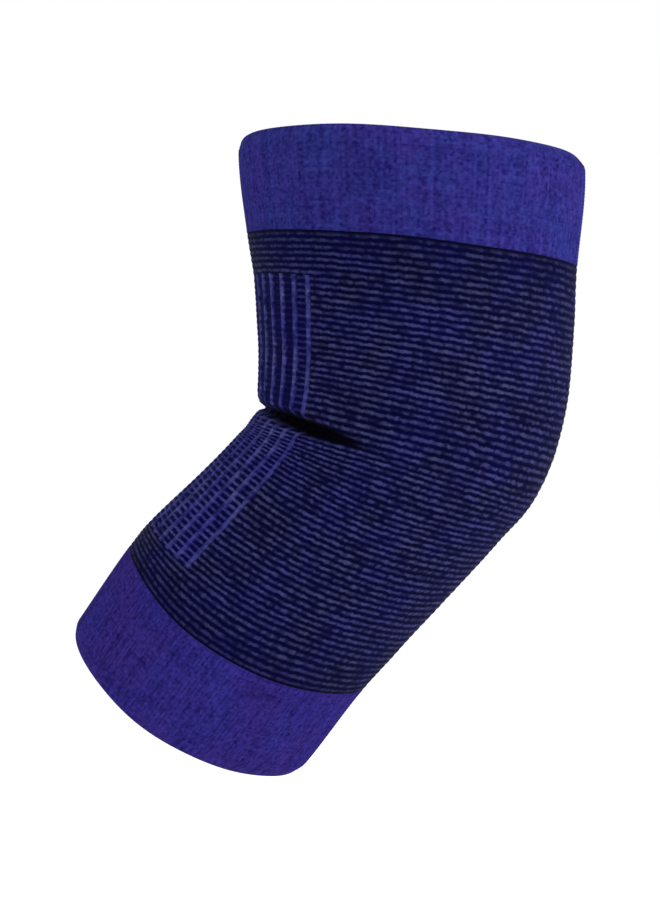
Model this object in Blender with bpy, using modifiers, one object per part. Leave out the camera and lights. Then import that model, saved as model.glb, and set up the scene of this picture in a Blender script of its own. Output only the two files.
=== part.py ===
"""Knitted knee support in its worn form, bent at the knee.

It is four knitted pieces: a cuff round the thigh, a striped tube over the knee, a ribbed
panel set into the back of the tube, and a cuff round the calf.

Frame: +Z runs up the thigh, +X points forward out of the kneecap, and the two halves
match across the plane Y = 0. The origin is the middle of the knee. Metres and degrees.
"""

import math
from collections import namedtuple

import bpy
import numpy as np

# Lengths along the leg, from the middle of the knee
THIGH_REACH = 0.0825
THIGH_CUFF_HEIGHT = 0.0405
CALF_REACH = 0.0900
CALF_CUFF_HEIGHT = 0.0425

# Front to back and side to side: across the thigh cuff's lower edge, the knee and the calf
THIGH_DEPTH = 0.1330
THIGH_WIDTH = 0.1250
KNEE_DEPTH = 0.1210
KNEE_WIDTH = 0.1090
CALF_DEPTH = 0.1130
CALF_WIDTH = 0.1050

# The calf's angle to the thigh, and how much wider the back half of a section is
KNEE_BEND = 41.0
BACK_FULLNESS = 0.10

# Walls of the knit, and the gap between neighbouring pieces
CUFF_WALL = 0.0026
TUBE_WALL = 0.0020
PANEL_WALL = 0.0020
SEAM_GAP = 0.0003

# Rounding of the cuffs' edges
CUFF_ROUNDING = 0.0008

# Courses are rows of stitches: course 0 meets the thigh cuff and the last one the calf cuff
COURSES = 69
CUFF_COURSES = 15

# Ribbed panel: its first and last course, its edge's angle from the back at its upper end, at
# the tuck and at its lower end, and its ribs, the outermost of which lie along its edges
PANEL_FIRST = 7.0
PANEL_LAST = 62.0
PANEL_EDGE_THIGH = 50.0
PANEL_EDGE_KNEE = 48.8
PANEL_EDGE_CALF = 54.3
RIBS_EACH_SIDE = 7
RIB_HEIGHT = 0.0008
RIB_WIDTH_SHARE = 0.40
RIB_CROWDING = 0.90

# Tuck behind the knee: its course at the back, how many courses lower it ends, its depth,
# its half width in courses, and how far from the back it has died away
TUCK_COURSE = 29.5
TUCK_SLANT = 1.8
TUCK_DEPTH = 0.0046
TUCK_SPREAD = 1.3
TUCK_END = 78.0

# Mesh: columns from the front to the panel's edge, columns on to the back, and rows. A narrow
# column and a narrow row lie along each seam, so that both sides of it face the same way.
FRONT_COLUMNS = 15
BACK_COLUMNS = 5
SEAM_COLUMN = 0.012
SEAM_ROW = 0.6
CUFF_ROWS = (0.0, 0.22, 0.48, 0.74, 0.93, 1.0)
ROWS_TO_TUCK = 4
ROWS_FROM_TUCK = 6
TUCK_ROWS = (-2.8, -1.7, -1.0, -0.4, 0.2, 0.8, 1.5, 2.6)

# Yarn colours, linear
CUFF_BLUE = (0.030, 0.024, 0.170)
STRIPE_NAVY = (0.012, 0.012, 0.060)
RIB_BLUE = (0.030, 0.030, 0.150)
YARN_ROUGHNESS = 0.9

# A section's lengths are shares of the sizes that its zone names. Along is the way down the
# zone from the knee, shift is forward, tilt is a share of the bend, and rise lifts the sides.
Zone = namedtuple("Zone", "start length depth width lean")
Section = namedtuple("Section", "zone course along shift depth width tilt rise")

ZONES = {
    "thigh_cuff": Zone(THIGH_REACH, THIGH_CUFF_HEIGHT, THIGH_DEPTH, THIGH_WIDTH, 0.0),
    "thigh": Zone(0.0, THIGH_REACH, THIGH_DEPTH, THIGH_WIDTH, 0.0),
    "above_knee": Zone(0.0, THIGH_REACH, KNEE_DEPTH, KNEE_WIDTH, 0.0),
    "below_knee": Zone(0.0, CALF_REACH, KNEE_DEPTH, KNEE_WIDTH, KNEE_BEND),
    "calf": Zone(0.0, CALF_REACH, CALF_DEPTH, CALF_WIDTH, KNEE_BEND),
    "calf_cuff": Zone(CALF_REACH, CALF_CUFF_HEIGHT, CALF_DEPTH, CALF_WIDTH, KNEE_BEND),
}

SECTIONS = (
    Section("thigh_cuff", -CUFF_COURSES, 1.00, 0.022, 1.011, 1.030, 0.08, 0.00),
    Section("thigh_cuff", -CUFF_COURSES + 2, 0.86, 0.029, 1.045, 1.070, 0.07, 0.00),
    Section("thigh", 0, 1.00, 0.032, 1.000, 1.000, 0.14, 0.00),
    Section("thigh", 8, 0.74, 0.039, 0.978, 0.960, 0.20, 0.01),
    Section("thigh", 17, 0.46, 0.037, 0.958, 0.915, 0.25, 0.01),
    Section("above_knee", 25, 0.21, 0.021, 1.022, 1.020, 0.32, 0.02),
    Section("below_knee", 33, 0.05, -0.014, 0.980, 0.980, 0.41, 0.01),
    Section("calf", 41, 0.21, -0.014, 1.010, 0.980, 0.54, -0.09),
    Section("calf", 53, 0.55, -0.026, 1.000, 1.000, 0.62, -0.12),
    Section("calf", 61, 0.79, -0.036, 1.000, 1.020, 0.68, -0.12),
    Section("calf", COURSES, 1.00, -0.037, 0.980, 1.020, 0.77, -0.19),
    Section("calf_cuff", COURSES + CUFF_COURSES - 2, 0.86, -0.012, 0.962, 1.000, 0.79, -0.15),
    Section("calf_cuff", COURSES + CUFF_COURSES, 1.00, -0.010, 0.924, 0.965, 0.81, -0.147),
)


def section_sizes(section):
    """Centre x and z, half depth, half width, tilt and rise of one section, in metres and radians."""
    zone = ZONES[section.zone]
    lean = math.radians(zone.lean)
    down = zone.start + section.along * zone.length
    up = 1.0 if zone.lean == 0.0 else -1.0
    forward = section.shift * zone.depth
    x = forward * math.cos(lean) - down * math.sin(lean)
    z = up * down * math.cos(lean) - forward * math.sin(lean)
    tilt = math.radians(section.tilt * KNEE_BEND)
    half_depth = section.depth * zone.depth / 2
    half_width = section.width * zone.width / 2
    return x, z, half_depth, half_width, tilt, section.rise * zone.depth / 2


def section_slopes(knots, sizes):
    """Slope of each size at each section: the harmonic mean of the slopes either side, and level
    at a turning point, so that the curve never swings past its sections."""
    steps = np.diff(sizes, axis=0) / np.diff(knots)[:, None]
    before = steps[:-1]
    after = steps[1:]
    same_way = before * after > 0
    total = np.where(same_way, before + after, 1.0)
    inner = np.where(same_way, 2 * before * after / total, 0.0)
    return np.vstack([steps[:1], inner, steps[-1:]])


KNOTS = np.array([section.course for section in SECTIONS], float)
SIZES = np.array([section_sizes(section) for section in SECTIONS])
SLOPES = section_slopes(KNOTS, SIZES)


def sizes_at(course):
    """The section sizes at any course, on a smooth curve through the table's sections."""
    place = np.clip(np.searchsorted(KNOTS, course, side="right") - 1, 0, len(KNOTS) - 2)
    span = (KNOTS[place + 1] - KNOTS[place])[..., None]
    share = (course - KNOTS[place])[..., None] / span
    start = (1 + 2 * share) * SIZES[place] + share * span * SLOPES[place]
    end = (3 - 2 * share) * SIZES[place + 1] + (share - 1) * span * SLOPES[place + 1]
    return np.moveaxis((1 - share) ** 2 * start + share**2 * end, -1, 0)


def tuck(course, angle):
    """How far the fabric is drawn in at the crease behind the knee: a valley that fades to the sides."""
    from_back = np.clip((math.pi - angle) / math.radians(TUCK_END), 0, 1)
    off_line = (course - TUCK_COURSE - TUCK_SLANT * from_back) / TUCK_SPREAD
    return TUCK_DEPTH * np.exp(-(off_line**2) / 2) * (1 - from_back**2)


def sleeve_points(course, angle, swell=0.0):
    """Points on the outer face. The angle runs from 0 at the front to pi at the back, and each
    section is an ellipse, fuller behind, whose sides rise or sag. Swell moves a point outwards."""
    x, z, half_depth, half_width, tilt, rise = sizes_at(course)
    outward = swell - tuck(course, angle)
    along = (half_depth + outward) * np.cos(angle)
    lift = rise * np.sin(angle) ** 2
    side = (half_width + outward) * np.sin(angle) * (1 - BACK_FULLNESS * np.cos(angle))
    return np.stack(
        [
            x + along * np.cos(tilt) + lift * np.sin(tilt),
            -side,
            z - along * np.sin(tilt) + lift * np.cos(tilt),
        ],
        axis=-1,
    )


def courses_in_gap(course):
    """The seam gap as a number of courses, at the back, where courses lie closest."""
    ends = sleeve_points(np.array([course - 0.5, course + 0.5]), np.array([math.pi, math.pi]))
    return SEAM_GAP / np.linalg.norm(ends[1] - ends[0])


def panel_edge(course):
    """Angle of the ribbed panel's edge, in radians from the front."""
    places = (PANEL_FIRST, TUCK_COURSE, PANEL_LAST)
    edge = np.interp(course, places, (PANEL_EDGE_THIGH, PANEL_EDGE_KNEE, PANEL_EDGE_CALF))
    return math.pi - np.radians(edge)


def ring_grid(courses):
    """Courses and angles of a half ring, from the front to the back, with a column on the panel's edge."""
    front = np.append(np.linspace(0, 1, FRONT_COLUMNS, endpoint=False), 1 - SEAM_COLUMN)
    back = np.linspace(0, 1, BACK_COLUMNS + 1)
    edge = panel_edge(courses)[:, None]
    angle = np.hstack([edge * front, edge + (math.pi - edge) * back])
    return np.broadcast_to(courses[:, None], angle.shape), angle


def window_courses():
    """Courses down the panel, closer together where the fabric tucks in."""
    tuck_rows = TUCK_COURSE + TUCK_SLANT / 2 + TUCK_SPREAD * np.array(TUCK_ROWS)
    above = np.linspace(PANEL_FIRST + SEAM_ROW, tuck_rows[0], ROWS_TO_TUCK, endpoint=False)
    below = np.linspace(tuck_rows[-1], PANEL_LAST - SEAM_ROW, ROWS_FROM_TUCK)[1:]
    return np.concatenate([[PANEL_FIRST], above, tuck_rows, below, [PANEL_LAST]])


def knit_material(name, colour):
    """Matt knitted yarn of one colour."""
    material = bpy.data.materials.new(name)
    material.use_nodes = True
    shader = material.node_tree.nodes["Principled BSDF"]
    shader.inputs["Base Color"].default_value = (*colour, 1.0)
    shader.inputs["Roughness"].default_value = YARN_ROUGHNESS
    shader.inputs["Metallic"].default_value = 0.0
    return material


def knit_shell(name, points, wall, material, left_out=None):
    """A wall of fabric: half a sheet over a grid of points, mirrored across the plane of the
    leg and thickened inwards. Left_out marks the cells of an opening."""
    rows, columns = points.shape[:2]
    index = np.arange(rows * columns).reshape(rows, columns)
    corners = [index[:-1, :-1], index[:-1, 1:], index[1:, 1:], index[1:, :-1]]
    cells = np.stack(corners, axis=-1)
    kept = cells.reshape(-1, 4) if left_out is None else cells[~left_out]
    used, faces = np.unique(kept, return_inverse=True)
    mesh = bpy.data.meshes.new(name)
    vertices = points.reshape(-1, 3)[used]
    mesh.from_pydata(vertices.tolist(), [], faces.reshape(-1, 4).tolist())
    mesh.materials.append(material)
    shell = bpy.data.objects.new(name, mesh)
    mirror = shell.modifiers.new("other_half", "MIRROR")
    mirror.use_axis = (False, True, False)
    mirror.merge_threshold = 0.0001
    solid = shell.modifiers.new("wall", "SOLIDIFY")
    solid.thickness = wall
    solid.offset = -1.0
    solid.use_even_offset = True
    mesh.shade_smooth()
    mesh.set_sharp_from_angle(angle=math.radians(40))
    return shell


def build_cuff(name, courses, material):
    """A doubled cuff whose rim rolls inwards and whose edges are round."""
    cuff = knit_shell(name, sleeve_points(*ring_grid(courses)), CUFF_WALL, material)
    rounding = cuff.modifiers.new("soft_edges", "BEVEL")
    rounding.width = CUFF_ROUNDING
    rounding.segments = 2
    rounding.limit_method = "ANGLE"
    rounding.angle_limit = math.radians(60)
    return cuff


def build_thigh_cuff(material):
    """The upper cuff, from its rim down to the first course."""
    return build_cuff("thigh_cuff", -CUFF_COURSES * np.array(CUFF_ROWS[::-1]), material)


def build_calf_cuff(material):
    """The lower cuff, from the last course down to its rim."""
    return build_cuff("calf_cuff", COURSES + CUFF_COURSES * np.array(CUFF_ROWS), material)


def build_knee_tube(material):
    """The striped tube between the cuffs, open at the back where the ribbed panel sits."""
    first = courses_in_gap(0.0)
    last = COURSES - courses_in_gap(float(COURSES))
    window = window_courses()
    above = np.array([first, (first + PANEL_FIRST) / 2, PANEL_FIRST - SEAM_ROW])
    below = np.array([PANEL_LAST + SEAM_ROW, (last + PANEL_LAST) / 2, last])
    courses = np.concatenate([above, window, below])
    grid = ring_grid(courses)
    middle = (courses[:-1] + courses[1:]) / 2
    beside = (middle > PANEL_FIRST) & (middle < PANEL_LAST)
    behind = np.arange(grid[1].shape[1] - 1) > FRONT_COLUMNS
    points = sleeve_points(*grid)
    return knit_shell("knee_tube", points, TUBE_WALL, material, np.outer(beside, behind))


def build_rib_panel(material):
    """The panel behind the knee. Ribs run down it, level at its two ends, and crowd a little
    towards its edges. Each has a foot, a crest and a foot."""
    courses = window_courses()
    courses[0] += courses_in_gap(PANEL_FIRST)
    courses[-1] -= courses_in_gap(PANEL_LAST)
    foot = RIB_WIDTH_SHARE / 2
    crests = np.arange(RIBS_EACH_SIDE, 0, -1) - 0.5
    ribs = (crests[:, None] + np.array([foot, 0.0, -foot])).ravel()
    place = np.append(ribs, 0.0)
    crest = np.where(np.isin(place, crests), RIB_HEIGHT, 0.0) * np.ones((len(courses), 1))
    crest[[0, -1]] = 0.0
    seam_angle = SEAM_GAP / (KNEE_DEPTH / 2)
    half_panel = math.pi - panel_edge(courses)[:, None] - seam_angle
    angle = math.pi - half_panel * (place / place[0]) ** RIB_CROWDING
    course = np.broadcast_to(courses[:, None], angle.shape)
    return knit_shell("rib_panel", sleeve_points(course, angle, crest), PANEL_WALL, material)


def main():
    """Clears the scene and builds the four pieces under one empty at the middle of the knee."""
    for old in list(bpy.data.objects):
        bpy.data.objects.remove(old)
    collection = bpy.data.collections.new("knee_support")
    bpy.context.scene.collection.children.link(collection)
    leg = bpy.data.objects.new("knee_support_frame", None)
    collection.objects.link(leg)
    pieces = (
        build_thigh_cuff(knit_material("thigh_cuff_knit", CUFF_BLUE)),
        build_knee_tube(knit_material("striped_tube_knit", STRIPE_NAVY)),
        build_rib_panel(knit_material("ribbed_panel_knit", RIB_BLUE)),
        build_calf_cuff(knit_material("calf_cuff_knit", CUFF_BLUE)),
    )
    for piece in pieces:
        piece.parent = leg
        collection.objects.link(piece)


main()
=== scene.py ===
"""Looks of the knitted knee support: four knitted pieces that replace the plain walls of the model.

Every piece is a surface over two parameters. The course counts rows of stitches down the sleeve,
and the wale counts columns of stitches round it. A few sections give the sleeve's form, and the
knit stands on that form as a relief: raised stripes on the tube, ribs and bars on the panel behind
the knee, and fine stitches on the two cuffs. Metres, +Z up the thigh, +X out of the kneecap.
"""

import math
from collections import namedtuple

import bpy
import numpy as np
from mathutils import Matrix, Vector


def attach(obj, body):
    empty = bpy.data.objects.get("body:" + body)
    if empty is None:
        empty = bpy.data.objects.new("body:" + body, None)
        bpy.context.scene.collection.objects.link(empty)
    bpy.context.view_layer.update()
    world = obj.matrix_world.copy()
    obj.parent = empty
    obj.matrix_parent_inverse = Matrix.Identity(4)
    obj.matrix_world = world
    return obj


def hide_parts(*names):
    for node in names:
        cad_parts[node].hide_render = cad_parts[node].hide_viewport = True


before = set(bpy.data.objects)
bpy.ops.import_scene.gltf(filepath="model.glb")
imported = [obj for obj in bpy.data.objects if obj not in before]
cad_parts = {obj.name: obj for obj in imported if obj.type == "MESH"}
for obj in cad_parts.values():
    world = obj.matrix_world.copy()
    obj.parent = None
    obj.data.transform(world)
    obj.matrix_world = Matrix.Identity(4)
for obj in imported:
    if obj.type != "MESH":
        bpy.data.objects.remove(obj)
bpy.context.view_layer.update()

MM = 0.001

# The sleeve's form, with the sizes of the model: lengths along the leg from the middle of the knee
THIGH_REACH = 0.0825
THIGH_CUFF_HEIGHT = 0.0405
CALF_REACH = 0.0900
CALF_CUFF_HEIGHT = 0.0425
THIGH_DEPTH = 0.1330
THIGH_WIDTH = 0.1250
KNEE_DEPTH = 0.1210
KNEE_WIDTH = 0.1090
CALF_DEPTH = 0.1130
CALF_WIDTH = 0.1050
KNEE_BEND = 41.0
BACK_FULLNESS = 0.10
CUFF_WALL = 0.0026
TUBE_WALL = 0.0020
PANEL_WALL = 0.0020

# Courses are rows of stitches: course 0 meets the thigh cuff and the last one the calf cuff
COURSES = 69
CUFF_COURSES = 15
COURSE_PITCH = 0.0026
PANEL_FIRST = 7
PANEL_LAST = 62
PANEL_EDGE_THIGH = 50.0
PANEL_EDGE_KNEE = 48.8
PANEL_EDGE_CALF = 54.3
PANEL_NARROWEST = 29.5

# Wales are columns of stitches: round the whole sleeve, and across the panel behind the knee. One
# is 1.6 to 1.9 mm wide, as the loops of the tube's yarn measure. The plain cuffs are knitted finer,
# but with real stitches they would look flat, so they have the tube's wales, and CUFF_STITCHES
# rows of 1.3 mm, which is as coarse as their grain needs to be to show.
WALES = 216
PANEL_WALES = 64
SIDE_WALES = (WALES - PANEL_WALES) // 2
RIBS_EACH_SIDE = 7
RIB_WIDTH_SHARE = 0.40
RIB_CROWDING = 0.90

# Relief of the knit, from its hollows to its crests. A stripe's roundness is a power, and less is
# flatter. A rib swells at each bead by a share of its height, and a bar has a mean share of its
# full height and changes with its loops. The panel's relief fades out over a few tenths of a course
# at its ends. Between the two legs of a cuff's stitch the hollow is filled by a share of the
# relief, as far either side of the middle as the reach, in wales.
STRIPE_RELIEF = 0.28 * MM
LOOP_RELIEF = 0.14 * MM
STITCH_RELIEF = 0.03 * MM
RIDGE_ROUNDNESS = 0.8
RIB_RELIEF = 0.70 * MM
BEAD_SHARE = 0.12
BAR_RELIEF = 0.26 * MM
BAR_MEAN = 0.70
BAR_CHANGE = 0.60
PANEL_SINK = 0.50 * MM
PANEL_EDGE_COURSES = 0.6
CUFF_WALE_RELIEF = 0.26 * MM
CUFF_STITCH_RELIEF = 0.14 * MM
CUFF_LEG_FILL = 0.45
CUFF_LEG_REACH = 0.25
CUFF_STITCHES = 32
CUFF_SEAM_SINK = 0.50 * MM

# The rolled rim: steps of its half round, over how many courses the knit's relief grows from the
# roll, and the share of it that the roll keeps
RIM_STEPS = 8
RIM_COURSES = 1.0
RIM_RELIEF_SHARE = 0.35

# Crease behind the knee: its course at the back, how many courses lower it ends, how far from the
# back it ends in degrees, and how far it draws its lips together. The tuck is the wide hollow
# that the model has too, and the fold is the narrow slot in it. Spreads are in courses. Powers give
# the curves their form: a floor's under 2 makes it sharp, lips' over 2 makes them steep, and the
# greater an end's is, the later it dies away. The opening's place and taper put the widest part of
# the fold a little over halfway round from the back, and narrow it to either side.
CREASE_COURSE = 29.5
CREASE_SLANT = 2.2
CREASE_END = 84.0
CREASE_PINCH = 0.25
TUCK_DEPTH = 0.0027
TUCK_SPREAD_ABOVE = 1.45
TUCK_SPREAD_BELOW = 2.10
TUCK_FLOOR_POWER = 1.5
TUCK_END_POWER = 2
FOLD_DEPTH = 0.0080
FOLD_SPREAD = 1.28
FOLD_NARROWEST = 0.25
FOLD_LIP_POWER = 3
FOLD_END_POWER = 7
BACK_OPENING = 0.20
OPENING_PLACE_POWER = 1.2
OPENING_TAPER_POWER = 1.3

# Slack: slow waves in the fabric, with a pace of their own along the sleeve and a start of their
# own. How far the stripes wander, how far a loop sits off its course, how far from a cuff seam the
# knit is darker and how far its loops are held flat are all in courses. Darkening and flattening are
# shares.
SLACK = 0.22 * MM
SLACK_PACE = 0.6
SLACK_START = 9.0
WANDER = 0.13
COURSE_WOBBLE = 0.10
# Next to each cuff seam the knit's colour goes part way to near black
SEAM_DARK_REACH = 0.40
SEAM_DARKENING = 0.40
CUFF_HOLD = 5.0
CUFF_FLATTENING = 0.45

# A slow wave: how many times it turns round the sleeve, its turn for each course and its start in
# radians, and its height beside the first one
Wave = namedtuple("Wave", "turns pace start height")
WAVES = (
    Wave(3, 0.21, 0.6, 1.0),
    Wave(5, -0.34, 2.1, 0.8),
    Wave(8, 0.55, 4.0, 0.6),
)

# How unevenly loops stand out: each layer of grain has a share of the whole, and cells of so many
# rows by so many wales. The tube has single loops and dashes of a few, the panel small and large
# beads, and the cuffs stitches, half stitches, and faint lines along some wales and some rows.
Grain = namedtuple("Grain", "share rows wales")
TUBE_GRAIN = (Grain(0.80, 1, 0.75), Grain(0.20, 1, 4))
PANEL_GRAIN = (Grain(0.50, 0.5, 1), Grain(0.50, 1, 2))
CUFF_GRAIN = (
    Grain(0.34, 0.8, 0.5),
    Grain(0.28, 0.5, 0.5),
    Grain(0.23, 14, 0.5),
    Grain(0.15, 0.5, 12),
)

# Seeds of the random numbers: a layer of grain takes the seed of its piece plus its own place
TUBE_SEED = 11
WOBBLE_SEED = 31
PANEL_SEED = 23
THIGH_CUFF_SEED = 5
CALF_CUFF_SEED = 7

# Faces that meet at more than this many degrees show a sharp edge
SHARP_EDGE = 50.0

# A section's lengths are shares of the sizes that its zone names. Along is the way down the
# zone from the knee, shift is forward, tilt is a share of the bend, and rise lifts the sides.
Zone = namedtuple("Zone", "start length depth width lean")
Section = namedtuple("Section", "zone course along shift depth width tilt rise")

ZONES = {
    "thigh_cuff": Zone(THIGH_REACH, THIGH_CUFF_HEIGHT, THIGH_DEPTH, THIGH_WIDTH, 0.0),
    "thigh": Zone(0.0, THIGH_REACH, THIGH_DEPTH, THIGH_WIDTH, 0.0),
    "above_knee": Zone(0.0, THIGH_REACH, KNEE_DEPTH, KNEE_WIDTH, 0.0),
    "below_knee": Zone(0.0, CALF_REACH, KNEE_DEPTH, KNEE_WIDTH, KNEE_BEND),
    "calf": Zone(0.0, CALF_REACH, CALF_DEPTH, CALF_WIDTH, KNEE_BEND),
    "calf_cuff": Zone(CALF_REACH, CALF_CUFF_HEIGHT, CALF_DEPTH, CALF_WIDTH, KNEE_BEND),
}

SECTIONS = (
    Section("thigh_cuff", -CUFF_COURSES, 1.00, 0.022, 1.011, 1.030, 0.08, 0.00),
    Section("thigh_cuff", -CUFF_COURSES + 2, 0.86, 0.029, 1.045, 1.070, 0.07, 0.00),
    Section("thigh", 0, 1.00, 0.032, 1.000, 1.000, 0.14, 0.00),
    Section("thigh", 8, 0.74, 0.039, 0.978, 0.960, 0.20, 0.01),
    Section("thigh", 17, 0.46, 0.037, 0.958, 0.915, 0.25, 0.01),
    Section("above_knee", 25, 0.21, 0.021, 1.022, 1.020, 0.32, 0.02),
    Section("below_knee", 33, 0.05, -0.014, 0.980, 0.980, 0.41, 0.01),
    Section("calf", 41, 0.21, -0.014, 1.010, 0.980, 0.54, -0.09),
    Section("calf", 53, 0.55, -0.026, 1.000, 1.000, 0.62, -0.12),
    Section("calf", 61, 0.79, -0.036, 1.000, 1.020, 0.68, -0.12),
    Section("calf", COURSES, 1.00, -0.037, 0.980, 1.020, 0.77, -0.19),
    Section("calf_cuff", COURSES + CUFF_COURSES - 2, 0.86, -0.012, 0.962, 1.000, 0.79, -0.15),
    Section("calf_cuff", COURSES + CUFF_COURSES, 1.00, -0.010, 0.924, 0.965, 0.81, -0.147),
)


def section_sizes(section):
    """Centre x and z, half depth, half width, tilt and rise of one section, in metres and radians."""
    zone = ZONES[section.zone]
    lean = math.radians(zone.lean)
    down = zone.start + section.along * zone.length
    up = 1.0 if zone.lean == 0.0 else -1.0
    forward = section.shift * zone.depth
    x = forward * math.cos(lean) - down * math.sin(lean)
    z = up * down * math.cos(lean) - forward * math.sin(lean)
    tilt = math.radians(section.tilt * KNEE_BEND)
    half_depth = section.depth * zone.depth / 2
    half_width = section.width * zone.width / 2
    return x, z, half_depth, half_width, tilt, section.rise * zone.depth / 2


def section_slopes(knots, sizes):
    """Slope of each size at each section: the harmonic mean of the slopes either side, and level
    at a turning point, so that the curve never swings past its sections."""
    steps = np.diff(sizes, axis=0) / np.diff(knots)[:, None]
    before = steps[:-1]
    after = steps[1:]
    same_way = before * after > 0
    total = np.where(same_way, before + after, 1.0)
    inner = np.where(same_way, 2 * before * after / total, 0.0)
    return np.vstack([steps[:1], inner, steps[-1:]])


KNOTS = np.array([section.course for section in SECTIONS], float)
SIZES = np.array([section_sizes(section) for section in SECTIONS])
SLOPES = section_slopes(KNOTS, SIZES)


def sizes_at(course):
    """The section sizes at any course, on a smooth curve through the table's sections."""
    place = np.clip(np.searchsorted(KNOTS, course, side="right") - 1, 0, len(KNOTS) - 2)
    span = (KNOTS[place + 1] - KNOTS[place])[..., None]
    share = (course - KNOTS[place])[..., None] / span
    start = (1 + 2 * share) * SIZES[place] + share * span * SLOPES[place]
    end = (3 - 2 * share) * SIZES[place + 1] + (share - 1) * span * SLOPES[place + 1]
    return np.moveaxis((1 - share) ** 2 * start + share**2 * end, -1, 0)


def crease(course, angle):
    """The crease behind the knee. The tuck is a hollow with a sharp floor, deepest at the back,
    that dies away round the side. The fold in it is a slot with steep lips and a flat floor,
    narrow and shallow at the back, widest towards the side, and gone where the crease ends.
    Returns the tuck's depth, the fold's share of its full depth, and how far a point moves to the
    crease, in courses."""
    from_back = np.clip(np.abs(math.pi - angle) / math.radians(CREASE_END), 0, 1)
    off_line = course - CREASE_COURSE - CREASE_SLANT * from_back
    spread = np.where(off_line < 0, TUCK_SPREAD_ABOVE, TUCK_SPREAD_BELOW)
    hollow = np.exp(-(np.abs(off_line / spread) ** TUCK_FLOOR_POWER))
    tuck = TUCK_DEPTH * hollow * (1 - from_back**TUCK_END_POWER)
    widening = np.sin(math.pi * from_back**OPENING_PLACE_POWER) ** OPENING_TAPER_POWER
    opening = BACK_OPENING + (1 - BACK_OPENING) * widening
    opening = opening * (1 - from_back**FOLD_END_POWER)
    slot = off_line / (FOLD_SPREAD * (FOLD_NARROWEST + (1 - FOLD_NARROWEST) * opening))
    fold = opening * np.exp(-(np.abs(slot) ** FOLD_LIP_POWER))
    return tuck, fold, -CREASE_PINCH * off_line * fold


def closed_crease_shade_and_dark_seams(course, angle):
    """How far the knit is closed up and darkened, from 0 to 1: in the fold, where the raised yarn is
    hidden and the colour is painted near black as shade in the crease, and next to each cuff seam, where
    it is darker.
    """
    from_seam = np.minimum(course, COURSES - course) / SEAM_DARK_REACH
    return np.maximum(crease(course, angle)[1], SEAM_DARKENING * np.exp(-(from_seam**2)))


def slow_waves(course, angle):
    """The slow waves that run round and along the sleeve, added up and brought to -1 to 1."""
    total = 0
    for wave in WAVES:
        total = total + wave.height * np.sin(wave.turns * angle + wave.pace * course + wave.start)
    return total / sum(wave.height for wave in WAVES)


def sleeve_points(course, angle, swell=0.0):
    """Points of the sleeve. The angle runs once round, 0 and a full turn at the front and half a
    turn at the back. Each section is an ellipse, fuller behind, whose sides rise or sag. Swell
    moves a point outwards. The crease and the fabric's slow waves are part of the form."""
    tuck, fold, pull = crease(course, angle)
    waves = slow_waves(course, angle)
    x, z, half_depth, half_width, tilt, rise = sizes_at(course + pull + WANDER * waves)
    slack = SLACK * slow_waves(SLACK_PACE * course + SLACK_START, angle)
    outward = swell - tuck - FOLD_DEPTH * fold + slack
    along = (half_depth + outward) * np.cos(angle)
    lift = rise * np.sin(angle) ** 2
    side = (half_width + outward) * np.sin(angle) * (1 - BACK_FULLNESS * np.cos(angle))
    return np.stack(
        [
            x + along * np.cos(tilt) + lift * np.sin(tilt),
            -side,
            z - along * np.sin(tilt) + lift * np.cos(tilt),
        ],
        axis=-1,
    )


def panel_edge(course):
    """Angle of the ribbed panel's edge on the near side, in radians from the front."""
    places = (PANEL_FIRST, PANEL_NARROWEST, PANEL_LAST)
    edge = np.interp(course, places, (PANEL_EDGE_THIGH, PANEL_EDGE_KNEE, PANEL_EDGE_CALF))
    return math.pi - np.radians(edge)


def angle_of(course, wale):
    """Angle of a wale at a course. The wales of the panel and those of the rest each keep their
    number, so they close up where the panel narrows."""
    edge = panel_edge(course)
    half_turn = WALES / 2
    mirrored = np.minimum(wale, WALES - wale)
    front = edge * mirrored / SIDE_WALES
    back = edge + (math.pi - edge) * (mirrored - SIDE_WALES) / (half_turn - SIDE_WALES)
    near = np.where(mirrored < SIDE_WALES, front, back)
    return np.where(wale <= half_turn, near, 2 * math.pi - near)


def vertex_numbers(rows, columns, first=0, ring=False):
    """Numbers of the vertices of a grid, row by row. Where the grid closes round the sleeve, its
    first column comes again at the end."""
    numbers = first + np.arange(rows * columns).reshape(rows, columns)
    return np.column_stack([numbers, numbers[:, :1]]) if ring else numbers


def on_both_faces(values, coarse):
    """Values at each point of the outer face, and then at each of the fewer points of the inner
    face behind it."""
    shape = (-1, *values.shape[2:])
    return np.concatenate([values.reshape(shape), values[coarse].reshape(shape)])


def grid_cells(index, kept=None, inside=False):
    """Quads over a grid of vertex numbers, facing out, or in for an inner face. Where kept is
    given, it says which of them are there."""
    corners = [index[:-1, :-1], index[:-1, 1:], index[1:, 1:], index[1:, :-1]]
    if inside:
        corners.reverse()
    cells = np.stack(corners, axis=-1)
    return cells.reshape(-1, 4) if kept is None else cells[kept]


def edge_faces(fine, coarse, falling):
    """Faces across the wall's thickness: each joins one step of the coarse inner edge to the
    several steps of the fine outer edge that lie along it. Falling turns the faces round, for
    the edges where they would otherwise face into the wall."""
    ratio = (len(fine) - 1) // (len(coarse) - 1)
    steps = [fine[offset : len(fine) - ratio + offset : ratio] for offset in range(ratio + 1)]
    if falling:
        return np.stack(steps[::-1] + [coarse[:-1], coarse[1:]], axis=-1)
    return np.stack(steps + [coarse[1:], coarse[:-1]], axis=-1)


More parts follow.
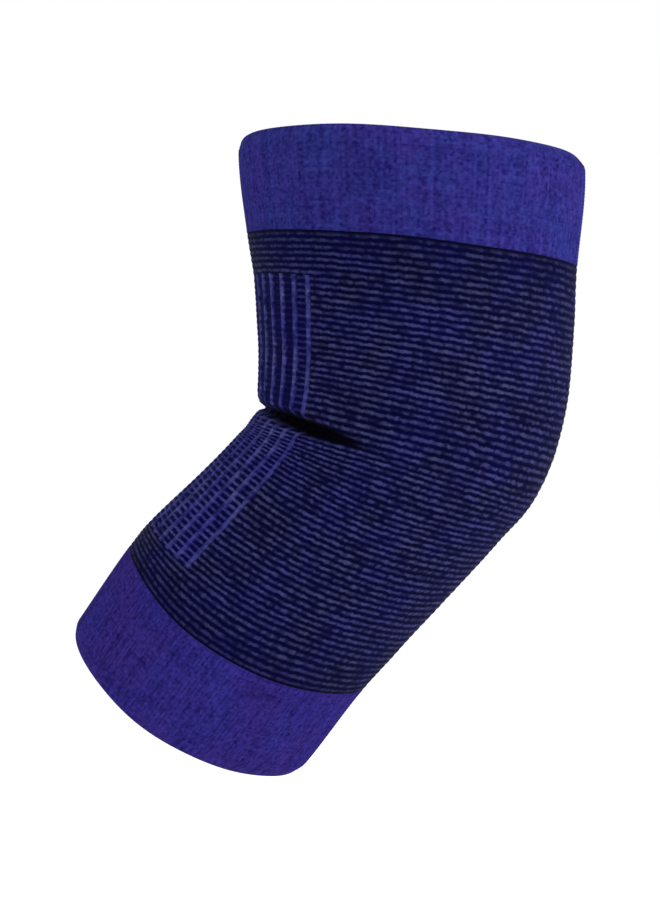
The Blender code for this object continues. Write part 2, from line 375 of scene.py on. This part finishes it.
def knit_object(name, outer, inner, faces, stitches, fields, material):
    """A mesh object from the outer and inner points, with its stitch map and its named fields,
    one number for each point. Points that no face uses are left out. On a face that closes the
    ring, the map counts on past the last wale, so that its stitches don't run backwards."""
    points = np.concatenate([outer.reshape(-1, 3), inner.reshape(-1, 3)])
    used = np.unique(np.concatenate([group.ravel() for group in faces]))
    number = np.zeros(len(points), int)
    number[used] = np.arange(len(used))
    corners = [face for group in faces for face in number[group].tolist()]
    mesh = bpy.data.meshes.new(name)
    mesh.from_pydata(points[used].tolist(), [], corners)
    corner_vertex = np.empty(len(mesh.loops), np.int32)
    mesh.loops.foreach_get("vertex_index", corner_vertex)
    places = stitches[used][corner_vertex]
    starts = np.empty(len(mesh.polygons), np.int32)
    mesh.polygons.foreach_get("loop_start", starts)
    counts = np.diff(np.append(starts, len(corner_vertex)))
    furthest = np.repeat(np.maximum.reduceat(places[:, 0], starts), counts)
    places[:, 0] += np.where(furthest - places[:, 0] > WALES / 2, WALES, 0)
    layer = mesh.uv_layers.new(name="stitches")
    layer.uv.foreach_set("vector", places.astype(np.float32).ravel())
    for field, values in fields.items():
        attribute = mesh.attributes.new(field, "FLOAT", "POINT")
        attribute.data.foreach_set("value", values[used].astype(np.float32))
    mesh.materials.append(material)
    mesh.shade_smooth()
    mesh.set_sharp_from_angle(angle=math.radians(SHARP_EDGE))
    piece = bpy.data.objects.new(name, mesh)
    bpy.context.scene.collection.objects.link(piece)
    return piece


def knit_noise(seed, row, wale, row_step, wale_step):
    """Smooth noise from 0 to 1 that closes round the sleeve: random numbers on a table with a
    step in rows and one in wales, blended between by a smooth step each way."""
    columns = int(WALES / wale_step)
    down = row / row_step
    across = wale / wale_step
    top = np.floor(down).astype(int)
    left = np.floor(across).astype(int)
    table = np.random.default_rng(seed).random((top.max() - top.min() + 2, columns))
    below = (3 - 2 * (down - top)) * (down - top) ** 2
    beside = (3 - 2 * (across - left)) * (across - left) ** 2
    top = top - top.min()
    upper = table[top, left % columns] * (1 - beside) + table[top, (left + 1) % columns] * beside
    lower = table[top + 1, left % columns] * (1 - beside) + table[top + 1, (left + 1) % columns] * beside
    return upper * (1 - below) + lower * below


def grain_loft(seed, row, wale, grain):
    """How far a loop stands out, from 0 to 1: the layers of the grain, each with its share."""
    loft = 0
    for place, layer in enumerate(grain):
        loft = loft + layer.share * knit_noise(seed + place, row, wale, layer.rows, layer.wales)
    return loft


def wobble(seed, course, wale):
    """How far a course sits above or below its level place, in courses: it jumps a little from
    loop to loop, as the yarn's tension changes."""
    return COURSE_WOBBLE * (2 * knit_noise(seed, course, wale, row_step=1, wale_step=1) - 1)


def tube_relief(course, wale, loft):
    """Height of the striped knit: a round ridge along each course with a sharp hollow between,
    higher where its loops stand out, and a small rise for each stitch, staggered by half a stitch."""
    ridge = np.abs(np.sin(math.pi * course)) ** RIDGE_ROUNDNESS
    stitch = np.cos(2 * math.pi * wale + math.pi * np.floor(course))
    crest = STRIPE_RELIEF + LOOP_RELIEF * (loft - 0.5) + STITCH_RELIEF * stitch
    return ridge * crest - STRIPE_RELIEF / 2


def build_knee_tube(material):
    """The striped tube. Its outer face has four rows to a course and two columns to a wale, and
    its inner face one row to a course and one column to two wales. A window is left for the panel.
    Every course has its own grain, so nothing blends from one to the next, and near a cuff the
    loops stand out less."""
    rows = 4
    columns = 2
    ratio = 4
    course = np.arange(COURSES * rows + 1) / rows
    wale = np.arange(WALES * columns) / columns
    course, wale = np.meshgrid(course, wale, indexing="ij")
    angle = angle_of(course, wale)
    last_level = COURSES - 0.001    # still counts as the last course, and not as one more
    level = np.clip(course + wobble(WOBBLE_SEED, course, wale), 0, last_level)
    from_cuff = np.minimum(course, COURSES - course)
    held = 1 - CUFF_FLATTENING * np.exp(-from_cuff / CUFF_HOLD)
    loft = grain_loft(TUBE_SEED, np.floor(level), wale, TUBE_GRAIN) * held
    outer = sleeve_points(course, angle, tube_relief(level, wale, loft))
    coarse = (slice(None, None, ratio), slice(None, None, ratio))
    inner = sleeve_points(course[coarse], angle[coarse], -TUBE_WALL)
    index = vertex_numbers(*course.shape, ring=True)
    lining = vertex_numbers(*course[coarse].shape, first=course.size, ring=True)
    kept = np.ones((index.shape[0] - 1, index.shape[1] - 1), bool)
    top = PANEL_FIRST * rows
    bottom = PANEL_LAST * rows
    left = SIDE_WALES * columns
    right = (WALES - SIDE_WALES) * columns
    kept[top:bottom, left:right] = False
    up_down = slice(top, bottom + 1)
    across = slice(left, right + 1)
    up_down_inside = slice(top // ratio, bottom // ratio + 1)
    across_inside = slice(left // ratio, right // ratio + 1)
    faces = [
        grid_cells(index, kept),
        grid_cells(lining, kept[coarse], inside=True),
        edge_faces(index[0], lining[0], falling=True),
        edge_faces(index[-1], lining[-1], falling=False),
        edge_faces(index[top, across], lining[top // ratio, across_inside], falling=False),
        edge_faces(index[bottom, across], lining[bottom // ratio, across_inside], falling=True),
        edge_faces(index[up_down, left], lining[up_down_inside, left // ratio], falling=True),
        edge_faces(index[up_down, right], lining[up_down_inside, right // ratio], falling=False),
    ]
    stitches = on_both_faces(np.stack([wale, level], axis=-1), coarse)
    fields = {
        "loft": on_both_faces(loft, coarse),
        # The fold field also carries the crease's painted shade and the darker line along each cuff seam
        "fold": on_both_faces(closed_crease_shade_and_dark_seams(course, angle), coarse),
    }
    return knit_object("knee_tube_knit", outer, inner, faces, stitches, fields, material)


def rib_shape(place):
    """Height of the ribs, from 0 between them to 1 on a crest, where place counts rib pitches
    from the middle of the back: a half round on each rib's width and level between."""
    off_crest = np.abs(np.abs(place) % 1.0 - 0.5)
    return np.sqrt(np.clip(1 - (off_crest / (RIB_WIDTH_SHARE / 2)) ** 2, 0, 1))


def panel_relief(course, place, loft):
    """Height of the ribbed knit: a half round on each rib, beaded by its stitches, and between
    the ribs a low bar along each course."""
    rib = rib_shape(place)
    bead = 1 + BEAD_SHARE * np.cos(2 * math.pi * course)
    bar = np.abs(np.sin(math.pi * course)) * (BAR_MEAN + BAR_CHANGE * (loft - 0.5))
    return np.maximum(RIB_RELIEF * rib * bead, BAR_RELIEF * bar) - PANEL_SINK


def build_rib_panel(material):
    """The panel behind the knee. Its outer face has five rows to a course and 14 columns to a
    rib, and its inner face one row to a course and a column to each half of a rib's pitch. The
    relief fades to nothing at its upper and lower edges, where it meets the tube."""
    rows = 5
    columns = 14
    ratio_down = 5
    ratio_across = 7
    edge_place = RIBS_EACH_SIDE - 0.5 + RIB_WIDTH_SHARE / 2
    course = PANEL_FIRST + np.arange((PANEL_LAST - PANEL_FIRST) * rows + 1) / rows
    count = 2 * RIBS_EACH_SIDE * columns
    place = np.linspace(-edge_place, edge_place, count + 1)
    course, place = np.meshgrid(course, place, indexing="ij")
    half_panel = math.pi - panel_edge(course)
    angle = math.pi + half_panel * np.sign(place) * np.abs(place / edge_place) ** RIB_CROWDING
    wale = WALES / 2 + place / edge_place * PANEL_WALES / 2
    loft = grain_loft(PANEL_SEED, course, wale, PANEL_GRAIN)
    from_edge = np.minimum(course - PANEL_FIRST, PANEL_LAST - course)
    fade = np.clip(from_edge / PANEL_EDGE_COURSES, 0, 1)
    outer = sleeve_points(course, angle, panel_relief(course, place, loft) * fade)
    coarse = (slice(None, None, ratio_down), slice(None, None, ratio_across))
    inner = sleeve_points(course[coarse], angle[coarse], -PANEL_WALL)
    index = vertex_numbers(*course.shape)
    lining = vertex_numbers(*course[coarse].shape, first=course.size)
    faces = [
        grid_cells(index),
        grid_cells(lining, inside=True),
        edge_faces(index[0], lining[0], falling=True),
        edge_faces(index[-1], lining[-1], falling=False),
        edge_faces(index[:, 0], lining[:, 0], falling=False),
        edge_faces(index[:, -1], lining[:, -1], falling=True),
    ]
    stitches = on_both_faces(np.stack([place, course], axis=-1), coarse)
    fields = {
        "loft": on_both_faces(loft, coarse),
        # The fold field also carries the crease's painted shade and the darker line along each cuff seam
        "fold": on_both_faces(closed_crease_shade_and_dark_seams(course, angle), coarse),
    }
    return knit_object("rib_panel_knit", outer, inner, faces, stitches, fields, material)


def cuff_relief(stitch, wale):
    """Height of the cuff's plain knit: two legs to a stitch, with a deep hollow between wales
    and a shallow one between the legs, and a slanting hollow between one stitch and the next."""
    across = wale % 1.0
    legs = np.abs(np.sin(2 * math.pi * across))
    slant = np.abs(across - 0.5)
    middle = CUFF_LEG_FILL * np.clip(1 - slant / CUFF_LEG_REACH, 0, 1)
    rows = np.abs(np.sin(math.pi * (stitch + slant)))
    return CUFF_WALE_RELIEF * (legs + middle - 0.5) + CUFF_STITCH_RELIEF * (rows - 0.5)


def build_cuff(name, rim, seam, seed, material):
    """A cuff from its rim to its seam, in courses. Its outer face starts inside the wall, rolls
    over the rim in a half round and runs on to the seam, with four columns to a wale and three
    rows to a stitch. Its inner face has a row to each course and a column to each wale."""
    columns = 4
    rows = 3
    down = 1.0 if seam > rim else -1.0
    radius = CUFF_WALL / 2
    start = radius / COURSE_PITCH
    roll = np.linspace(math.pi, 0, RIM_STEPS + 1)[:-1]
    straight = np.linspace(start, CUFF_COURSES, rows * CUFF_STITCHES + 1)
    from_rim = np.concatenate([start * (1 - np.sin(roll)), straight])
    height = np.concatenate([radius * (np.cos(roll) - 1), np.zeros(len(straight))])
    height[-1] = -CUFF_SEAM_SINK
    from_rim, wale = np.meshgrid(from_rim, np.arange(WALES * columns) / columns, indexing="ij")
    stitch = from_rim / CUFF_COURSES * CUFF_STITCHES
    course = rim + down * from_rim
    share = np.clip((from_rim - start) / RIM_COURSES, RIM_RELIEF_SHARE, 1)
    relief = cuff_relief(stitch, wale) * share
    outer = sleeve_points(course, angle_of(course, wale), height[:, None] + relief)
    inside_rows = np.linspace(start, CUFF_COURSES, CUFF_COURSES + 1)
    inside_from_rim, inside_wale = np.meshgrid(inside_rows, np.arange(WALES), indexing="ij")
    inside_stitch = inside_from_rim / CUFF_COURSES * CUFF_STITCHES
    inside_course = rim + down * inside_from_rim
    inner = sleeve_points(inside_course, angle_of(inside_course, inside_wale), -CUFF_WALL)
    index = vertex_numbers(*course.shape, ring=True)
    lining = vertex_numbers(*inside_course.shape, first=course.size, ring=True)
    faces = [
        grid_cells(index, inside=down < 0),
        grid_cells(lining, inside=down > 0),
        edge_faces(index[0], lining[0], falling=down > 0),
        edge_faces(index[-1], lining[-1], falling=down < 0),
    ]
    wales = np.append(wale.ravel(), inside_wale.ravel())
    stitches = np.stack([wales, np.append(stitch.ravel(), inside_stitch.ravel())], axis=-1)
    fields = {"loft": grain_loft(seed, stitches[:, 1], stitches[:, 0], CUFF_GRAIN)}
    return knit_object(name, outer, inner, faces, stitches, fields, material)


def linear(code):
    """Linear colour of an sRGB hex code."""
    parts = np.array([int(code[start : start + 2], 16) for start in (1, 3, 5)]) / 255
    values = np.where(parts <= 0.04045, parts / 12.92, ((parts + 0.055) / 1.055) ** 2.4)
    return (*values.tolist(), 1.0)


def add(tree, kind, inputs=None, **settings):
    """Adds a node. Settings are its own values, and inputs gives each socket a value or a link."""
    node = tree.nodes.new(kind)
    for name, value in settings.items():
        setattr(node, name, value)
    for socket, value in (inputs or {}).items():
        if isinstance(value, bpy.types.NodeSocket):
            tree.links.new(value, node.inputs[socket])
        else:
            node.inputs[socket].default_value = value
    return node.outputs


def new_material(name, roughness, specular):
    """An empty matt material: its node tree and its shader."""
    material = bpy.data.materials.new(name)
    material.use_nodes = True
    shader = material.node_tree.nodes["Principled BSDF"]
    shader.inputs["Roughness"].default_value = roughness
    shader.inputs["Specular IOR Level"].default_value = specular
    return material, material.node_tree, shader


# Yarn: matt textured polyamide round an elastic core, which hardly shines. Its fibres are about
# 0.02 mm thick, far too fine to show, so their fuzz is drawn at 1.4 mm, as coarse as it needs to be
# to fray the stripes at this distance. Blotches are patches of a slightly different shade, about
# 16 mm across.
YARN_ROUGHNESS = 0.92
YARN_SPECULAR = 0.04
FIBRE_SIZE = 1.4 * MM
FIBRE_DETAIL = 3.0
FIBRE_BUMP = 0.3 * MM
FIBRE_BUMP_STRENGTH = 0.4
BLOTCH_SIZE = 16 * MM
BLOTCH_DETAIL = 1.0
BLOTCH_RANGE = {"From Min": 0.35, "From Max": 0.65}

# Bands of raised yarn: each has its full colour as far from the middle of its course, wale or rib
# as its minimum, and none beyond its maximum. Fray is how far single fibres move a band's edges.
TUBE_FRAY = 0.50
PANEL_FRAY = 0.36
CUFF_FRAY = 0.40
STRIPE_BAND = {"From Min": 0.07, "From Max": 0.35}
LOOP_BAND = {"From Min": 0.05, "From Max": 0.55}
RIB_BAND = {"From Min": 0.05, "From Max": 0.27}
BAR_BAND = {"From Min": 0.05, "From Max": 0.32}

# How far a loop stands out where its yarn looks darkest and where it looks palest, how much
# paler a loop or bead is than the yarn beside it, and how bright the tube's yarn is between loops
TUBE_LOFT_RANGE = {"From Min": 0.08, "From Max": 0.84}
PANEL_LOFT_RANGE = {"From Min": 0.15, "From Max": 0.80}
CUFF_LOFT_RANGE = {"From Min": 0.22, "From Max": 0.79}
LOOP_CONTRAST = 0.20
BETWEEN_LOOPS = 0.85
BEAD_CONTRAST = 0.35

# The panel's bars by course, faint above the crease and bright below it, and by rib, clear
# beside the outermost one
BARS_BY_COURSE = {"From Min": 29.0, "From Max": 32.0, "To Min": 0.08, "To Max": 0.75}
BARS_BY_RIB = {"From Min": 5.3, "From Max": 5.7, "To Min": 0.0, "To Max": 0.34}

# How far the knit has closed up, or is darkened next to a seam, where it still shows its colours and
# where it is painted near black: painted shade in the crease, and a dark line along each cuff seam
CREASE_SHADE_AND_DARK_SEAM_RANGE = {"From Min": 0.04, "From Max": 0.55, "To Min": 1.0, "To Max": 0.0}
CREASE_SHADE_AND_DARK_SEAM_COLOUR = "#000008"

# Colours of the yarns. The raised yarns and the cuffs have a greyer or more violet shade and a
# bluer one, which change place from patch to patch, and a dark shade where loops sink.
STRIPE_GREY = "#303155"
STRIPE_BLUE = "#2c2d5b"
STRIPE_DARK = "#060628"
GROUND_BLACK = "#00001c"
GROUND_NAVY = "#000026"
RIB_GREY = "#444576"
RIB_BLUE = "#36387c"
RIB_DARK = "#121248"
RIB_GROUND = "#00002a"
THIGH_CUFF_COLOURS = ("#120c48", "#2e276e", "#272c70")
CALF_CUFF_COLOURS = ("#130b44", "#30236c", "#292570")
WHITE = "#ffffff"

# Sockets of a Mix node for colours: the share, the first and second colour, and the result
SHARE = 0
FIRST = 6
SECOND = 7
MIXED = 2


def yarn_noises(tree):
    """Two noises on Object coordinates: one for the fibres' fuzz, and one for broad patches."""
    place = add(tree, "ShaderNodeTexCoord")["Object"]
    fine = {"Vector": place, "Scale": 1 / FIBRE_SIZE, "Detail": FIBRE_DETAIL}
    fibres = add(tree, "ShaderNodeTexNoise", fine)["Fac"]
    broad = {"Vector": place, "Scale": 1 / BLOTCH_SIZE, "Detail": BLOTCH_DETAIL}
    blotches = add(tree, "ShaderNodeTexNoise", broad)["Fac"]
    return fibres, add(tree, "ShaderNodeMapRange", {"Value": blotches, **BLOTCH_RANGE})["Result"]


def raised_band(tree, place, frayed, band):
    """1 on the middle of each unit of place and 0 beyond the band, with a yarn's frayed edge."""
    within = add(tree, "ShaderNodeMath", {0: place}, operation="FRACT")[0]
    centred = add(tree, "ShaderNodeMath", {0: within, 1: 0.5}, operation="SUBTRACT")[0]
    from_middle = add(tree, "ShaderNodeMath", {0: centred}, operation="ABSOLUTE")[0]
    edge = add(tree, "ShaderNodeMath", {0: from_middle, 1: frayed}, operation="ADD")[0]
    fall = {"Value": edge, "To Min": 1.0, "To Max": 0.0, **band}
    return add(tree, "ShaderNodeMapRange", fall, interpolation_type="SMOOTHSTEP")["Result"]


def finish_yarn(tree, shader, colour, fibres):
    """Sets the yarn's colour, and its finest relief as bump."""
    tree.links.new(colour, shader.inputs["Base Color"])
    bump = {"Height": fibres, "Strength": FIBRE_BUMP_STRENGTH, "Distance": FIBRE_BUMP}
    tree.links.new(add(tree, "ShaderNodeBump", bump)["Normal"], shader.inputs["Normal"])


def striped_tube_material():
    """Striped elastic knit: a raised blue-grey yarn over a navy ground, course by course. The eye
    sees thin stripes with soft edges, broken into dashes where single loops stand out or sink.
    Where the knit folds up, the raised yarn closes and only the ground shows, and the colour is painted
    near black as shade in the crease. Next to each cuff seam the knit is darker too."""
    material, tree, shader = new_material("striped_polyamide_elastic_knit", YARN_ROUGHNESS, YARN_SPECULAR)
    fibres, patches = yarn_noises(tree)
    fray = {0: fibres, 1: TUBE_FRAY, 2: -TUBE_FRAY / 2}
    frayed = add(tree, "ShaderNodeMath", fray, operation="MULTIPLY_ADD")[0]
    stitches = add(tree, "ShaderNodeUVMap", uv_map="stitches")["UV"]
    wale, course = add(tree, "ShaderNodeSeparateXYZ", {0: stitches})[:2]
    loft = add(tree, "ShaderNodeAttribute", attribute_name="loft")["Fac"]
    fold = add(tree, "ShaderNodeAttribute", attribute_name="fold")["Fac"]

    stripe = raised_band(tree, course, frayed, STRIPE_BAND)
    loop = raised_band(tree, wale, frayed, LOOP_BAND)
    beads = {0: loop, 1: LOOP_CONTRAST, 2: BETWEEN_LOOPS}
    beaded = add(tree, "ShaderNodeMath", beads, operation="MULTIPLY_ADD")[0]
    shown = add(tree, "ShaderNodeMath", {0: loft, 1: beaded}, operation="MULTIPLY")[0]
    uneven = add(tree, "ShaderNodeMath", {0: shown, 1: frayed}, operation="ADD")[0]
    bright = add(tree, "ShaderNodeMapRange", {"Value": uneven, **TUBE_LOFT_RANGE})["Result"]

    palest = {SHARE: patches, FIRST: linear(STRIPE_GREY), SECOND: linear(STRIPE_BLUE)}
    pale = add(tree, "ShaderNodeMix", palest, data_type="RGBA")[MIXED]
    raised = {SHARE: bright, FIRST: linear(STRIPE_DARK), SECOND: pale}
    light = add(tree, "ShaderNodeMix", raised, data_type="RGBA")[MIXED]
    hollows = {SHARE: patches, FIRST: linear(GROUND_BLACK), SECOND: linear(GROUND_NAVY)}
    ground = add(tree, "ShaderNodeMix", hollows, data_type="RGBA")[MIXED]
    # Painted shade: in the crease the colour goes to near black, and next to each cuff seam it is darker
    open_undarkened_knit = add(tree, "ShaderNodeMapRange", {"Value": fold, **CREASE_SHADE_AND_DARK_SEAM_RANGE})["Result"]
    showing = add(tree, "ShaderNodeMath", {0: stripe, 1: open_undarkened_knit}, operation="MULTIPLY")[0]
    striped = {SHARE: showing, FIRST: ground, SECOND: light}
    colour = add(tree, "ShaderNodeMix", striped, data_type="RGBA")[MIXED]
    crease_shade_and_dark_seams_mix = {SHARE: open_undarkened_knit, FIRST: linear(CREASE_SHADE_AND_DARK_SEAM_COLOUR), SECOND: colour}
    finish_yarn(tree, shader, add(tree, "ShaderNodeMix", crease_shade_and_dark_seams_mix, data_type="RGBA")[MIXED], fibres)
    return material


def ribbed_panel_material():
    """Ribbed elastic knit: pale blue ribs over navy, tied by a bar at each course. Above the
    crease the bars are faint apart from those beside the outermost rib, and below it they are
    bright, a lattice."""
    material, tree, shader = new_material("ribbed_polyamide_elastic_knit", YARN_ROUGHNESS, YARN_SPECULAR)
    fibres, patches = yarn_noises(tree)
    fray = {0: fibres, 1: PANEL_FRAY, 2: -PANEL_FRAY / 2}
    frayed = add(tree, "ShaderNodeMath", fray, operation="MULTIPLY_ADD")[0]
    stitches = add(tree, "ShaderNodeUVMap", uv_map="stitches")["UV"]
    place, course = add(tree, "ShaderNodeSeparateXYZ", {0: stitches})[:2]
    loft = add(tree, "ShaderNodeAttribute", attribute_name="loft")["Fac"]
    fold = add(tree, "ShaderNodeAttribute", attribute_name="fold")["Fac"]

    from_middle = add(tree, "ShaderNodeMath", {0: place}, operation="ABSOLUTE")[0]
    bar = raised_band(tree, course, frayed, BAR_BAND)
    beads = {0: bar, 1: BEAD_CONTRAST, 2: 1 - BEAD_CONTRAST}
    beaded = add(tree, "ShaderNodeMath", beads, operation="MULTIPLY_ADD")[0]
    crests = raised_band(tree, from_middle, frayed, RIB_BAND)
    rib = add(tree, "ShaderNodeMath", {0: crests, 1: beaded}, operation="MULTIPLY")[0]
    below_crease = add(tree, "ShaderNodeMapRange", {"Value": course, **BARS_BY_COURSE})["Result"]
    outermost = add(tree, "ShaderNodeMapRange", {"Value": from_middle, **BARS_BY_RIB})["Result"]
    strength = add(tree, "ShaderNodeMath", {0: below_crease, 1: outermost}, operation="MAXIMUM")[0]
    bars = add(tree, "ShaderNodeMath", {0: bar, 1: strength}, operation="MULTIPLY")[0]
    raised = add(tree, "ShaderNodeMath", {0: rib, 1: bars}, operation="MAXIMUM")[0]
    bright = add(tree, "ShaderNodeMapRange", {"Value": loft, **PANEL_LOFT_RANGE})["Result"]

    palest = {SHARE: patches, FIRST: linear(RIB_GREY), SECOND: linear(RIB_BLUE)}
    pale = add(tree, "ShaderNodeMix", palest, data_type="RGBA")[MIXED]
    yarn = {SHARE: bright, FIRST: linear(RIB_DARK), SECOND: pale}
    light = add(tree, "ShaderNodeMix", yarn, data_type="RGBA")[MIXED]
    ribbed = {SHARE: raised, FIRST: linear(RIB_GROUND), SECOND: light}
    colour = add(tree, "ShaderNodeMix", ribbed, data_type="RGBA")[MIXED]
    # Painted shade: in the crease the colour goes to near black, and next to each cuff seam it is darker
    open_undarkened_knit = add(tree, "ShaderNodeMapRange", {"Value": fold, **CREASE_SHADE_AND_DARK_SEAM_RANGE})["Result"]
    crease_shade_and_dark_seams_mix = {SHARE: open_undarkened_knit, FIRST: linear(CREASE_SHADE_AND_DARK_SEAM_COLOUR), SECOND: colour}
    finish_yarn(tree, shader, add(tree, "ShaderNodeMix", crease_shade_and_dark_seams_mix, data_type="RGBA")[MIXED], fibres)
    return material


def cuff_material(name, dark, violet, blue):
    """Plain elastic knit in one royal blue yarn. The eye sees a fine even grain, mottled where
    stitches are lighter or darker, with patches a little more violet or more blue."""
    material, tree, shader = new_material(name, YARN_ROUGHNESS, YARN_SPECULAR)
    fibres, patches = yarn_noises(tree)
    loft = add(tree, "ShaderNodeAttribute", attribute_name="loft")["Fac"]
    fray = {0: fibres, 1: CUFF_FRAY, 2: -CUFF_FRAY / 2}
    grain = add(tree, "ShaderNodeMath", fray, operation="MULTIPLY_ADD")[0]
    uneven = add(tree, "ShaderNodeMath", {0: loft, 1: grain}, operation="ADD")[0]
    tone = add(tree, "ShaderNodeMapRange", {"Value": uneven, **CUFF_LOFT_RANGE})["Result"]
    tints = {SHARE: patches, FIRST: linear(violet), SECOND: linear(blue)}
    light = add(tree, "ShaderNodeMix", tints, data_type="RGBA")[MIXED]
    mottled = {SHARE: tone, FIRST: linear(dark), SECOND: light}
    finish_yarn(tree, shader, add(tree, "ShaderNodeMix", mottled, data_type="RGBA")[MIXED], fibres)
    return material


# View: the photograph's frame, the pixel where the origin shows, and a pixel's size at the origin
FRAME_WIDTH = 660
FRAME_HEIGHT = 900
ORIGIN_ACROSS = 401
ORIGIN_DOWN = 456
PIXEL = 0.000405
CAMERA_DISTANCE = 0.70
CAMERA_ELEVATION = 2.0
SENSOR_WIDTH = 36.0

# Stage: a wide floor below the sleeve, which the leg would hold up, and square soft lights
FLOOR_DROP = 0.30
FLOOR_RADIUS = 4.0
FLOOR_SIDES = 96
SURROUND_STRENGTH = 1.0
Lamp = namedtuple("Lamp", "name place size power")
LAMPS = (
    Lamp("right_light", (1.3, -0.7, 0.6), 0.9, 24.5),
    Lamp("left_light", (-0.9, -0.6, 0.5), 0.6, 4.5),
)


def build_camera():
    """A camera in front of the sleeve's side, whose lens gives the photograph's scale. Blender
    fits the sensor's width to the frame's longer side."""
    camera = bpy.data.objects.new("camera", bpy.data.cameras.new("camera"))
    camera.data.sensor_width = SENSOR_WIDTH
    camera.data.lens = SENSOR_WIDTH * CAMERA_DISTANCE / (FRAME_HEIGHT * PIXEL)
    across = (FRAME_WIDTH / 2 - ORIGIN_ACROSS) * PIXEL
    up = (ORIGIN_DOWN - FRAME_HEIGHT / 2) * PIXEL
    rise = math.radians(CAMERA_ELEVATION)
    offset = CAMERA_DISTANCE * Vector((0.0, -math.cos(rise), math.sin(rise)))
    camera.location = Vector((across, 0.0, up)) + offset
    camera.rotation_euler = (-offset).to_track_quat("-Z", "Y").to_euler()
    bpy.context.scene.collection.objects.link(camera)
    bpy.context.scene.camera = camera


def build_light(lamp):
    """A square soft light that faces the middle of the sleeve."""
    area = bpy.data.lights.new(lamp.name, "AREA")
    area.size = lamp.size
    area.energy = lamp.power
    light = bpy.data.objects.new(lamp.name, area)
    light.location = lamp.place
    light.rotation_euler = (-light.location).to_track_quat("-Z", "Y").to_euler()
    bpy.context.scene.collection.objects.link(light)


def build_stage():
    """A plain floor under the sleeve in matt white paint, which gives the eye no gleam, a white
    surround and soft lights."""
    bpy.ops.mesh.primitive_circle_add(vertices=FLOOR_SIDES, radius=FLOOR_RADIUS, fill_type="NGON")
    floor = bpy.context.object
    floor.name = "floor"
    floor.location.z = -FLOOR_DROP
    material, _, shader = new_material("matt_white_paint", roughness=1.0, specular=0.0)
    shader.inputs["Base Color"].default_value = linear(WHITE)
    floor.data.materials.append(material)
    world = bpy.data.worlds.new("white_surround")
    world.use_nodes = True
    surround = world.node_tree.nodes["Background"]
    surround.inputs["Color"].default_value = linear(WHITE)
    surround.inputs["Strength"].default_value = SURROUND_STRENGTH
    bpy.context.scene.world = world
    for lamp in LAMPS:
        build_light(lamp)
    bpy.context.scene.view_settings.view_transform = "Standard"


build_camera()
build_stage()
thigh_yarn = cuff_material("thigh_cuff_polyamide_knit", *THIGH_CUFF_COLOURS)
thigh_cuff = build_cuff("thigh_cuff_knit", -CUFF_COURSES, 0, THIGH_CUFF_SEED, thigh_yarn)
knee_tube = build_knee_tube(striped_tube_material())
rib_panel = build_rib_panel(ribbed_panel_material())
calf_yarn = cuff_material("calf_cuff_polyamide_knit", *CALF_CUFF_COLOURS)
calf_cuff = build_cuff("calf_cuff_knit", COURSES + CUFF_COURSES, COURSES, CALF_CUFF_SEED, calf_yarn)

pieces = (
    (thigh_cuff, "thigh_cuff", "thigh_cuff_knit"),
    (knee_tube, "knee_tube", "striped_tube_knit"),
    (rib_panel, "rib_panel", "ribbed_panel_knit"),
    (calf_cuff, "calf_cuff", "calf_cuff_knit"),
)
for piece, node, slot in pieces:
    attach(piece, "root")
    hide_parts(node)
